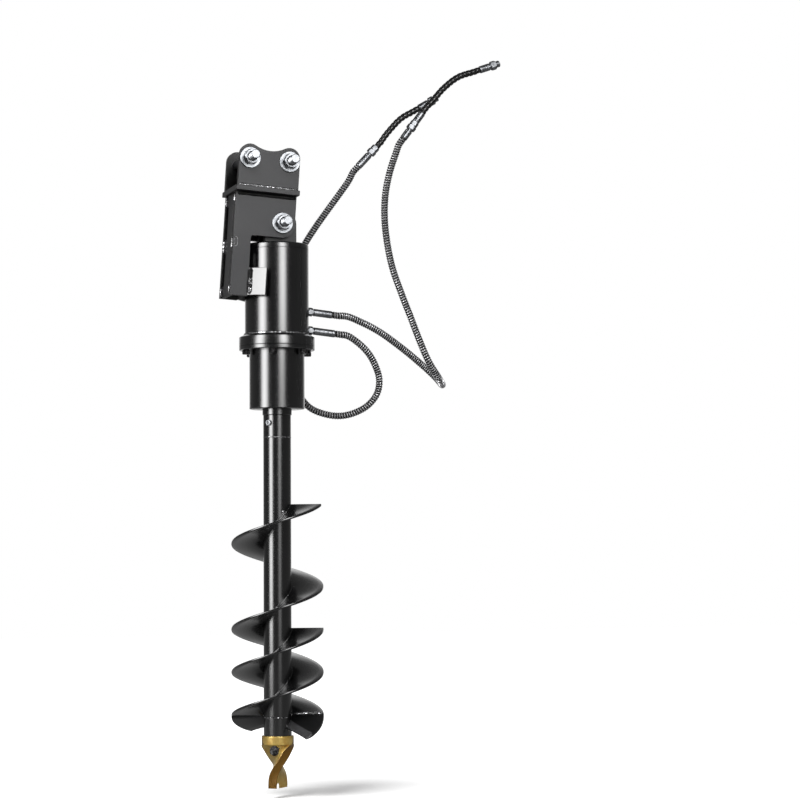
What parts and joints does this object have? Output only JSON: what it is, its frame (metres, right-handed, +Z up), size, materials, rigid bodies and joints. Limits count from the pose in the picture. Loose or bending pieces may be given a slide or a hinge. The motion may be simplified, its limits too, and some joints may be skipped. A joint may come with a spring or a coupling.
{
  "type": "earth auger drive",
  "caption": "Hydraulic earth auger drive: welded hitch bracket, swinging motor and gearbox housing, flighted auger with cutting blades and pilot bit, and guarded hoses.",
  "frame": {"origin": "midway between the two hitch bolts, halfway between the ears", "axes": "+Z up along the plumb drive, +X from the saddle side to the port side, -Y the side of the nuts"},
  "size_m": [0.6231, 0.2212, 1.6419],
  "materials": {
    "gloss_black_paint": "gloss black paint on turned housings, tube and flights",
    "bracket_paint": "satin black paint on welded plate",
    "zinc_steel": "bright zinc plated bolts, nuts, washers and hose fittings",
    "oxide_steel": "black oxide screws",
    "machined_steel": "machined steel shaft and bearings",
    "gear_steel": "case-hardened gear steel",
    "motor_iron": "painted cast iron motor",
    "bush_bronze": "sintered bronze bush",
    "seal_rubber": "nitrile lip seal",
    "gold_paint": "gold lacquer on forged steel",
    "spring_guard": "rubber hose in a close-wound black steel guard",
    "hose_wrap": "rubber hose in a spiral plastic wrap"
  },
  "bodies": {
    "bracket": {"ear_front": "bracket_paint", "ear_rear": "bracket_paint", "base_plate": "bracket_paint", "side_plate_front": "bracket_paint", "side_plate_rear": "bracket_paint", "web_plate": "bracket_paint", "saddle_wing_front": "bracket_paint", "saddle_wing_rear": "bracket_paint", "hitch_left_bolt": "zinc_steel", "hitch_left_washer": "zinc_steel", "hitch_left_nut": "zinc_steel", "hitch_right_bolt": "zinc_steel", "hitch_right_washer": "zinc_steel", "hitch_right_nut": "zinc_steel", "pivot_bolt": "zinc_steel", "pivot_washer": "zinc_steel", "pivot_nut": "zinc_steel"},
    "drive": {"lug_front": "gloss_black_paint", "lug_rear": "gloss_black_paint", "top_cap": "gloss_black_paint", "motor_housing": "gloss_black_paint", "gearbox_housing": "gloss_black_paint", "pivot_bush": "bush_bronze", "flange_bolt_1": "oxide_steel", "flange_bolt_2": "oxide_steel", "flange_bolt_3": "oxide_steel", "flange_bolt_4": "oxide_steel", "flange_bolt_5": "oxide_steel", "flange_bolt_6": "oxide_steel", "hydraulic_motor": "motor_iron", "ring_gear": "gear_steel", "upper_bearing_cup": "machined_steel", "lower_bearing_cup": "machined_steel", "shaft_seal": "seal_rubber", "port_fitting_a": "zinc_steel", "port_fitting_b": "zinc_steel", "coupling_a": "zinc_steel", "coupling_b": "zinc_steel", "end_fitting_a": "zinc_steel", "end_fitting_b": "zinc_steel", "hose_a_lower": "spring_guard", "hose_b_lower": "spring_guard", "hose_a_upper": "hose_wrap", "hose_b_upper": "hose_wrap"},
    "sun": {"sun_shaft": "gear_steel"},
    "planet_1": {"planet_gear_1": "gear_steel"},
    "planet_2": {"planet_gear_2": "gear_steel"},
    "planet_3": {"planet_gear_3": "gear_steel"},
    "output": {"output_shaft": "machined_steel", "upper_bearing_cone": "machined_steel", "lower_bearing_cone": "machined_steel", "auger_tube": "gloss_black_paint", "main_flight": "gloss_black_paint", "second_flight": "gloss_black_paint", "cutting_blade_1": "gloss_black_paint", "cutting_blade_2": "gloss_black_paint", "cross_bolt": "zinc_steel", "pilot_bit": "gold_paint", "pilot_bolt": "oxide_steel"}
  },
  "joints": [
    {"name": "drive_swing", "type": "hinge", "parent": "bracket", "child": "drive", "pos_m": [0.03222, 0, -0.1384], "axis": [0, -1, 0], "range_deg": [-6.8, 50]},
    {"name": "output_spin", "type": "hinge", "parent": "drive", "child": "output", "pos_m": [0.03222, 0, -0.4984], "axis": [0, 0, 1], "continuous": true},
    {"name": "sun_spin", "type": "hinge", "parent": "drive", "child": "sun", "pos_m": [0.03222, 0, -0.4394], "axis": [0, 0, 1], "continuous": true},
    {"name": "planet_1_spin", "type": "hinge", "parent": "output", "child": "planet_1", "pos_m": [0.06222, 0, -0.4394], "axis": [0, 0, 1], "continuous": true},
    {"name": "planet_2_spin", "type": "hinge", "parent": "output", "child": "planet_2", "pos_m": [0.01722, 0.02598, -0.4394], "axis": [0, 0, 1], "continuous": true},
    {"name": "planet_3_spin", "type": "hinge", "parent": "output", "child": "planet_3", "pos_m": [0.01722, -0.02598, -0.4394], "axis": [0, 0, 1], "continuous": true}
  ],
  "couplings": [
    {"joint": "sun_spin", "follows": "output_spin", "ratio": 5},
    {"joint": "planet_1_spin", "follows": "output_spin", "ratio": -2.6667},
    {"joint": "planet_2_spin", "follows": "output_spin", "ratio": -2.6667},
    {"joint": "planet_3_spin", "follows": "output_spin", "ratio": -2.6667}
  ]
}
